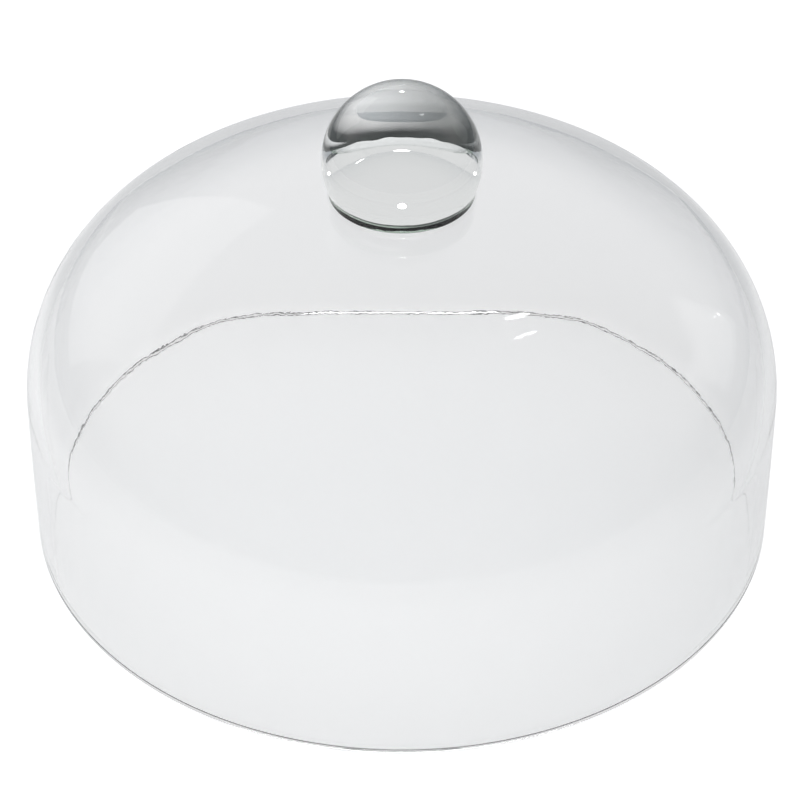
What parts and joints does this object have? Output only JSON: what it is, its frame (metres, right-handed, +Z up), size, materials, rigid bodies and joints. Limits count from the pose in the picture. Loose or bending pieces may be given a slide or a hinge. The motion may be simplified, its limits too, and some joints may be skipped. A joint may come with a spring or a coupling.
{
  "type": "buffet food cover dome",
  "caption": "Clear glass food cover: a round dome with a full shoulder and thick crown, open below, with a solid glass ball knob for lifting it off a plate or board.",
  "frame": {"origin": "centre of the rim, on the surface that the cover stands on", "axes": "+Z up along the dome's axis, through the knob; X and Y lie in the plane of the rim"},
  "size_m": [0.3, 0.3, 0.2009],
  "materials": {
    "dome_glass": "clear, fire-polished",
    "ball_glass": "clear with a slight green cast, polished",
    "bond_resin": "clear cured resin"
  },
  "bodies": {
    "root": {"dome_shell": "dome_glass", "bond_ring": "bond_resin", "ball_knob": "ball_glass"}
  },
  "joints": []
}
